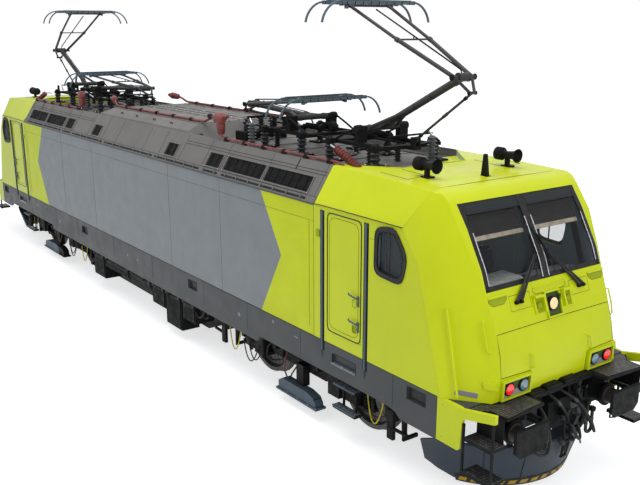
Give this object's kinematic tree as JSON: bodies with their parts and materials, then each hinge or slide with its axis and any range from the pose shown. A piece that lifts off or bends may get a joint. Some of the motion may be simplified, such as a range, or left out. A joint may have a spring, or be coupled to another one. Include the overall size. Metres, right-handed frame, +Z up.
{
  "type": "electric locomotive",
  "caption": "Full-size mainline electric freight locomotive with a cab at each end, two powered bogies, inward-opening cab doors and single-arm roof pantographs.",
  "frame": {"origin": "middle of the locomotive on the plane under its wheel flanges", "axes": "+X forward along the locomotive towards the front cab, +Y left, +Z up"},
  "size_m": [18.9, 3.082, 5.9036],
  "materials": {
    "sole_bar_paint": "satin dark grey paint",
    "cab_paint": "gloss yellow-green paint",
    "side_paint": "satin grey paint",
    "roof_paint": "satin warm grey paint",
    "black_metal": "matt black paint",
    "cab_lining": "blue-grey lining",
    "window_glass": "dark tinted glass",
    "desk_plastic": "pale grey-green",
    "seat_fabric": "navy cloth",
    "lamp_glass": "clear lamp glass over reflectors",
    "hose_rubber": "black rubber",
    "blue_grey_paint": "satin blue-grey paint",
    "tank_paint": "dark grey paint",
    "insulator": "dark silicone",
    "cable_red": "red-brown sheath",
    "bogie_paint": "matt black paint",
    "wheel_steel": "worn steel",
    "pantograph_tube": "dark grey paint",
    "contact_strip": "blue-grey strips"
  },
  "bodies": {
    "body": {"underframe": "sole_bar_paint", "corner_skirts": "cab_paint", "side_wall_left": "side_paint", "side_wall_right": "side_paint", "machine_roof": "roof_paint", "roof_grilles": "black_metal", "cab_noses": "cab_paint", "cab_sides": "cab_paint", "cab_roofs": "cab_paint", "cab_bulkheads": "cab_lining", "windscreens": "window_glass", "side_windows": "window_glass", "driver_desks": "desk_plastic", "driver_seats": "seat_fabric", "lamps": "lamp_glass", "buffers": "black_metal", "couplers": "black_metal", "brake_hoses": "hose_rubber", "steps": "black_metal", "handrails": "blue_grey_paint", "rail_guards": "blue_grey_paint", "transformer": "tank_paint", "underfloor_boxes": "black_metal", "converter_block": "tank_paint", "pantograph_frames": "black_metal", "roof_insulators": "insulator", "roof_cables": "cable_red", "horns": "black_metal"},
    "bogie_front": {"bogie_frame_front": "bogie_paint", "bogie_suspension_front": "bogie_paint", "traction_motors_front": "bogie_paint", "bogie_fittings_front": "black_metal"},
    "wheelset_1": {"wheelset_1": "wheel_steel"},
    "wheelset_2": {"wheelset_2": "wheel_steel"},
    "bogie_rear": {"bogie_frame_rear": "bogie_paint", "bogie_suspension_rear": "bogie_paint", "traction_motors_rear": "bogie_paint", "bogie_fittings_rear": "black_metal"},
    "wheelset_3": {"wheelset_3": "wheel_steel"},
    "wheelset_4": {"wheelset_4": "wheel_steel"},
    "door_front_right": {"door_front_right": "cab_paint"},
    "door_front_left": {"door_front_left": "cab_paint"},
    "door_rear_right": {"door_rear_right": "cab_paint"},
    "door_rear_left": {"door_rear_left": "cab_paint"},
    "lower_arm_1": {"lower_arm_1": "pantograph_tube"},
    "upper_arm_1": {"upper_arm_1": "pantograph_tube"},
    "head_1": {"head_1": "contact_strip"},
    "thrust_rod_1": {"thrust_rod_1": "pantograph_tube"},
    "lower_arm_2": {"lower_arm_2": "pantograph_tube"},
    "upper_arm_2": {"upper_arm_2": "pantograph_tube"},
    "head_2": {"head_2": "contact_strip"},
    "thrust_rod_2": {"thrust_rod_2": "pantograph_tube"},
    "lower_arm_3": {"lower_arm_3": "pantograph_tube"},
    "upper_arm_3": {"upper_arm_3": "pantograph_tube"},
    "head_3": {"head_3": "contact_strip"},
    "thrust_rod_3": {"thrust_rod_3": "pantograph_tube"},
    "lower_arm_4": {"lower_arm_4": "pantograph_tube"},
    "upper_arm_4": {"upper_arm_4": "pantograph_tube"},
    "head_4": {"head_4": "contact_strip"},
    "thrust_rod_4": {"thrust_rod_4": "pantograph_tube"}
  },
  "joints": [
    {"name": "bogie_front_turn", "type": "hinge", "parent": "body", "child": "bogie_front", "pos_m": [5.2, 0, 0.53], "axis": [0, 0, 1], "range_deg": [-4, 4]},
    {"name": "wheelset_1_spin", "type": "hinge", "parent": "bogie_front", "child": "wheelset_1", "pos_m": [6.5, 0, 0.655], "axis": [0, 1, 0], "continuous": true},
    {"name": "wheelset_2_spin", "type": "hinge", "parent": "bogie_front", "child": "wheelset_2", "pos_m": [3.9, 0, 0.655], "axis": [0, 1, 0], "continuous": true},
    {"name": "bogie_rear_turn", "type": "hinge", "parent": "body", "child": "bogie_rear", "pos_m": [-5.2, 0, 0.53], "axis": [0, 0, 1], "range_deg": [-4, 4]},
    {"name": "wheelset_3_spin", "type": "hinge", "parent": "bogie_rear", "child": "wheelset_3", "pos_m": [-3.9, 0, 0.655], "axis": [0, 1, 0], "continuous": true},
    {"name": "wheelset_4_spin", "type": "hinge", "parent": "bogie_rear", "child": "wheelset_4", "pos_m": [-6.5, 0, 0.655], "axis": [0, 1, 0], "continuous": true},
    {"name": "door_front_right_hinge", "type": "hinge", "parent": "body", "child": "door_front_right", "pos_m": [6.429, -1.409, 2.43], "axis": [0, 0, 1], "range_deg": [0, 85]},
    {"name": "door_front_left_hinge", "type": "hinge", "parent": "body", "child": "door_front_left", "pos_m": [6.429, 1.409, 2.43], "axis": [0, 0, -1], "range_deg": [0, 85]},
    {"name": "door_rear_right_hinge", "type": "hinge", "parent": "body", "child": "door_rear_right", "pos_m": [-6.429, -1.409, 2.43], "axis": [0, 0, -1], "range_deg": [0, 85]},
    {"name": "door_rear_left_hinge", "type": "hinge", "parent": "body", "child": "door_rear_left", "pos_m": [-6.429, 1.409, 2.43], "axis": [0, 0, 1], "range_deg": [0, 85]},
    {"name": "lower_arm_1_pivot", "type": "hinge", "parent": "body", "child": "lower_arm_1", "pos_m": [5.69, 0, 4.18], "axis": [0, -1, 0], "range_deg": [-23.4, 13.8]},
    {"name": "upper_arm_1_pivot", "type": "hinge", "parent": "lower_arm_1", "child": "upper_arm_1", "pos_m": [7.25572, 0, 4.95043], "axis": [0, -1, 0], "range_deg": [-25.65, 43.46]},
    {"name": "head_1_pivot", "type": "hinge", "parent": "upper_arm_1", "child": "head_1", "pos_m": [5.36629, 0, 5.84384], "axis": [0, -1, 0], "range_deg": [-20.06, 11.85]},
    {"name": "thrust_rod_1_pivot", "type": "hinge", "parent": "body", "child": "thrust_rod_1", "pos_m": [6.41, 0, 4.07], "axis": [0, -1, 0], "range_deg": [-31.17, 18.4]},
    {"name": "lower_arm_2_pivot", "type": "hinge", "parent": "body", "child": "lower_arm_2", "pos_m": [3.97, 0, 4.18], "axis": [0, 1, 0], "range_deg": [0, 37.2]},
    {"name": "upper_arm_2_pivot", "type": "hinge", "parent": "lower_arm_2", "child": "upper_arm_2", "pos_m": [2.22708, 0, 4.26524], "axis": [0, 1, 0], "range_deg": [-69.06, 0.05]},
    {"name": "head_2_pivot", "type": "hinge", "parent": "upper_arm_2", "child": "head_2", "pos_m": [4.30815, 0, 4.4583], "axis": [0, 1, 0], "range_deg": [-0.05, 31.86]},
    {"name": "thrust_rod_2_pivot", "type": "hinge", "parent": "body", "child": "thrust_rod_2", "pos_m": [3.25, 0, 4.07], "axis": [0, 1, 0], "range_deg": [-0.05, 49.53]},
    {"name": "lower_arm_3_pivot", "type": "hinge", "parent": "body", "child": "lower_arm_3", "pos_m": [-3.97, 0, 4.18], "axis": [0, -1, 0], "range_deg": [0, 37.2]},
    {"name": "upper_arm_3_pivot", "type": "hinge", "parent": "lower_arm_3", "child": "upper_arm_3", "pos_m": [-2.22708, 0, 4.26524], "axis": [0, -1, 0], "range_deg": [-69.06, 0.05]},
    {"name": "head_3_pivot", "type": "hinge", "parent": "upper_arm_3", "child": "head_3", "pos_m": [-4.30815, 0, 4.4583], "axis": [0, -1, 0], "range_deg": [-0.05, 31.86]},
    {"name": "thrust_rod_3_pivot", "type": "hinge", "parent": "body", "child": "thrust_rod_3", "pos_m": [-3.25, 0, 4.07], "axis": [0, -1, 0], "range_deg": [-0.05, 49.53]},
    {"name": "lower_arm_4_pivot", "type": "hinge", "parent": "body", "child": "lower_arm_4", "pos_m": [-5.69, 0, 4.18], "axis": [0, 1, 0], "range_deg": [-23.4, 13.8]},
    {"name": "upper_arm_4_pivot", "type": "hinge", "parent": "lower_arm_4", "child": "upper_arm_4", "pos_m": [-7.25572, 0, 4.95043], "axis": [0, 1, 0], "range_deg": [-25.65, 43.46]},
    {"name": "head_4_pivot", "type": "hinge", "parent": "upper_arm_4", "child": "head_4", "pos_m": [-5.36629, 0, 5.84384], "axis": [0, 1, 0], "range_deg": [-20.06, 11.85]},
    {"name": "thrust_rod_4_pivot", "type": "hinge", "parent": "body", "child": "thrust_rod_4", "pos_m": [-6.41, 0, 4.07], "axis": [0, 1, 0], "range_deg": [-31.17, 18.4]}
  ],
  "couplings": [
    {"joint": "upper_arm_1_pivot", "follows": "lower_arm_1_pivot", "ratio": -1.855},
    {"joint": "head_1_pivot", "follows": "lower_arm_1_pivot", "ratio": 0.855},
    {"joint": "thrust_rod_1_pivot", "follows": "lower_arm_1_pivot", "ratio": 1.33},
    {"joint": "upper_arm_2_pivot", "follows": "lower_arm_2_pivot", "ratio": -1.855},
    {"joint": "head_2_pivot", "follows": "lower_arm_2_pivot", "ratio": 0.855},
    {"joint": "thrust_rod_2_pivot", "follows": "lower_arm_2_pivot", "ratio": 1.33},
    {"joint": "upper_arm_3_pivot", "follows": "lower_arm_3_pivot", "ratio": -1.855},
    {"joint": "head_3_pivot", "follows": "lower_arm_3_pivot", "ratio": 0.855},
    {"joint": "thrust_rod_3_pivot", "follows": "lower_arm_3_pivot", "ratio": 1.33},
    {"joint": "upper_arm_4_pivot", "follows": "lower_arm_4_pivot", "ratio": -1.855},
    {"joint": "head_4_pivot", "follows": "lower_arm_4_pivot", "ratio": 0.855},
    {"joint": "thrust_rod_4_pivot", "follows": "lower_arm_4_pivot", "ratio": 1.33}
  ]
}
